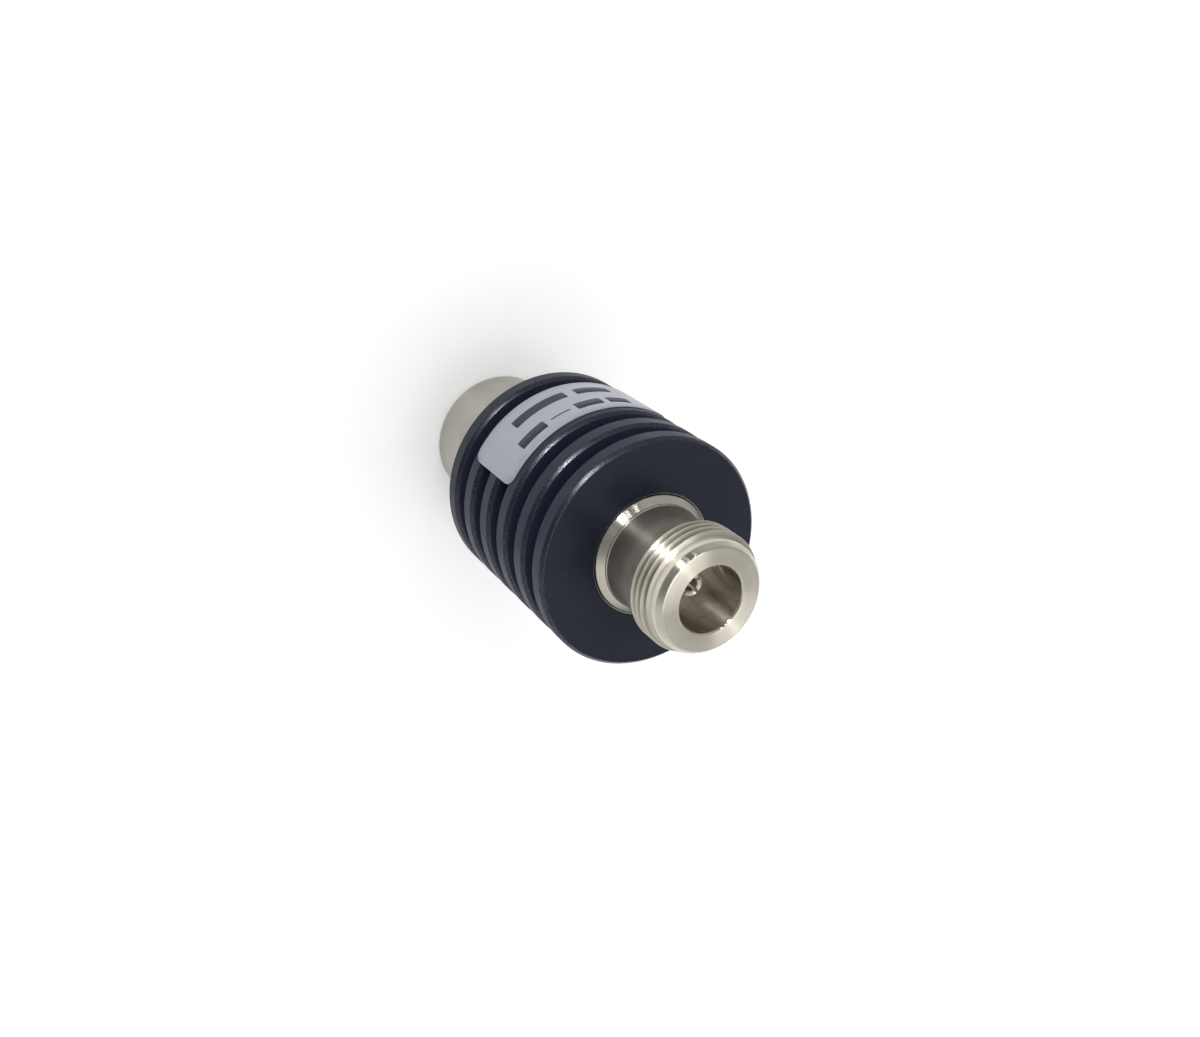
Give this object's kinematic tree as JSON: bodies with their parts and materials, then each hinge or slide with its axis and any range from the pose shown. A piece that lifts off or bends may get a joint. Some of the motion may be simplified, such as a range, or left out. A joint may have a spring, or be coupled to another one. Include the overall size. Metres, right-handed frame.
{
  "type": "rf attenuator",
  "caption": "Coaxial fixed attenuator: finned black heat sink with a threaded female coupling at one end and a male coupling with a free-turning nut at the other.",
  "frame": {"origin": "centre of the coupling nut's rim, on which the part stands", "axes": "+Z along the axis, from the plug to the jack; the rating label faces -Y"},
  "size_m": [0.0306, 0.0306, 0.0589],
  "materials": {
    "black_anodise": "satin black anodise, bare at the worn edges",
    "silver_film": "silver-grey printed film",
    "nickel": "satin nickel plate on brass",
    "nut_nickel": "satin nickel plate on brass",
    "white_bead": "white fluoropolymer",
    "contact_plate": "plated spring contact",
    "bushing_brass": "turned brass",
    "spring_bronze": "spring bronze",
    "red_silicone": "silicone rubber",
    "carrier_metal": "plated brass",
    "tile_ceramic": "white ceramic tile"
  },
  "bodies": {
    "housing": {"heat_sink": "black_anodise", "rating_label": "silver_film", "jack_body": "nickel", "jack_insulator": "white_bead", "jack_contact": "contact_plate", "jack_bushing": "bushing_brass", "plug_body": "nickel", "plug_insulator": "white_bead", "plug_contact": "contact_plate", "plug_bushing": "bushing_brass", "gasket": "red_silicone", "carrier_upper": "carrier_metal", "carrier_lower": "carrier_metal", "attenuator_chip": "tile_ceramic", "jack_tab": "spring_bronze", "plug_tab": "spring_bronze"},
    "ring": {"retaining_ring": "spring_bronze"},
    "nut": {"coupling_nut": "nut_nickel"}
  },
  "joints": [
    {"name": "nut_float", "type": "slide", "parent": "housing", "child": "ring", "axis": [0, 0, 1], "range_m": [-0.0008, 0]},
    {"name": "nut_spin", "type": "hinge", "parent": "ring", "child": "nut", "pos_m": [0, 0, 0.0147], "axis": [0, 0, 1], "continuous": true}
  ]
}
